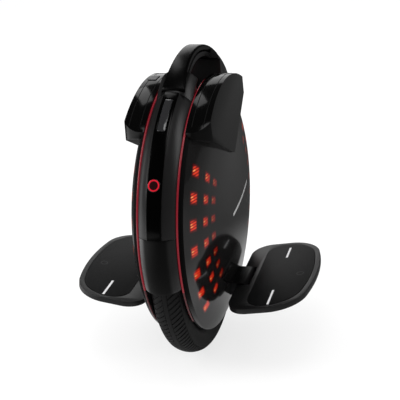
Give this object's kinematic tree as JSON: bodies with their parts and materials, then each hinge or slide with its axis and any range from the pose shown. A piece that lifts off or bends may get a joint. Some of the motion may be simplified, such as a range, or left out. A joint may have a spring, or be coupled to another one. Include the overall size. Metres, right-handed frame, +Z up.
{
  "type": "electric unicycle",
  "caption": "Self-balancing electric unicycle: one hub-motor wheel between domed gloss shells with lit windows, folding pedals and a pull-up handle.",
  "frame": {"origin": "on the floor straight under the middle of the wheel", "axes": "+Z up, +X to the rider's left along the axle, -Y forwards"},
  "size_m": [0.4012, 0.452, 0.5048],
  "materials": {
    "gloss_black": "gloss",
    "satin_black": "satin",
    "grey_trim": "satin",
    "tyre_rubber": "matte",
    "soft_rubber": "matte",
    "cast_alloy": "satin",
    "black_alloy": "satin",
    "steel": "brushed",
    "iron_core": "matte",
    "copper_wire": "satin",
    "light_window": "gloss",
    "red_line": "gloss",
    "red_reflector": "gloss",
    "lamp_clear": "gloss",
    "lamp_red": "gloss",
    "circuit_board": "satin",
    "battery_wrap": "satin"
  },
  "bodies": {
    "frame": {"stator_core": "iron_core", "stator_windings": "copper_wire", "axle": "steel", "side_shell_right": "gloss_black", "side_shell_left": "gloss_black", "led_windows_right": "light_window", "led_windows_left": "light_window", "led_boards_right": "circuit_board", "led_boards_left": "circuit_board", "light_line_right": "red_line", "light_line_left": "red_line", "inner_liner_right": "satin_black", "inner_liner_left": "satin_black", "front_fender": "satin_black", "rear_fender": "satin_black", "front_mudguard": "satin_black", "rear_mudguard": "satin_black", "front_strip": "gloss_black", "rear_strip": "gloss_black", "front_reflector": "red_reflector", "rear_reflector": "red_reflector", "grip_well_floor": "satin_black", "shoulder_left": "gloss_black", "shoulder_right": "gloss_black", "charge_socket": "grey_trim", "handle_arch": "satin_black", "headlight_lens": "lamp_clear", "taillight_lens": "lamp_red", "leg_sleeves": "steel", "hinge_pins": "steel", "hanger_right": "cast_alloy", "hanger_left": "cast_alloy", "axle_nuts": "steel", "hanger_bolts": "steel", "battery_right": "battery_wrap", "battery_left": "battery_wrap", "control_board": "circuit_board", "heat_sink": "cast_alloy", "speaker": "satin_black"},
    "wheel": {"tyre": "tyre_rubber", "inner_tube": "soft_rubber", "motor_rim": "black_alloy", "valve_stem": "steel", "magnet_ring": "steel", "motor_cover_right": "black_alloy", "motor_cover_left": "black_alloy", "wheel_bearings": "steel", "cover_screws": "steel"},
    "pedal_right_fold": {"pedal_right": "black_alloy", "pedal_pad_right": "soft_rubber"},
    "pedal_left_fold": {"pedal_left": "black_alloy", "pedal_pad_left": "soft_rubber"},
    "handle_middle": {"leg_middle_tubes": "steel"},
    "handle_top": {"handle_cap": "satin_black", "leg_rods": "steel"},
    "lift_button_key": {"lift_button": "grey_trim"},
    "power_button_key": {"power_button": "grey_trim"},
    "charge_cover": {"charge_flap": "gloss_black"}
  },
  "joints": [
    {"name": "wheel_spin", "type": "hinge", "parent": "frame", "child": "wheel", "pos_m": [0, 0, 0.203], "axis": [1, 0, 0], "continuous": true},
    {"name": "pedal_right_hinge", "type": "hinge", "parent": "frame", "child": "pedal_right_fold", "pos_m": [0.079, 0, 0.112], "axis": [0, -1, 0], "range_deg": [0, 78]},
    {"name": "pedal_left_hinge", "type": "hinge", "parent": "frame", "child": "pedal_left_fold", "pos_m": [-0.079, 0, 0.112], "axis": [0, 1, 0], "range_deg": [0, 78]},
    {"name": "handle_slide", "type": "slide", "parent": "frame", "child": "handle_top", "axis": [0, 0, 1], "range_m": [0, 0.08]},
    {"name": "handle_middle_slide", "type": "slide", "parent": "frame", "child": "handle_middle", "axis": [0, 0, 1], "range_m": [0, 0.04]},
    {"name": "lift_button_press", "type": "slide", "parent": "frame", "child": "lift_button_key", "axis": [0, 0, 1], "range_m": [0, 0.0012]},
    {"name": "power_button_press", "type": "slide", "parent": "frame", "child": "power_button_key", "axis": [0, 0, -1], "range_m": [0, 0.0015]},
    {"name": "charge_flap_hinge", "type": "hinge", "parent": "frame", "child": "charge_cover", "pos_m": [0.053, 0.05991, 0.45369], "axis": [-1, 0, 0], "range_deg": [0, 90]}
  ],
  "couplings": [
    {"joint": "handle_middle_slide", "follows": "handle_slide", "ratio": 0.5}
  ]
}
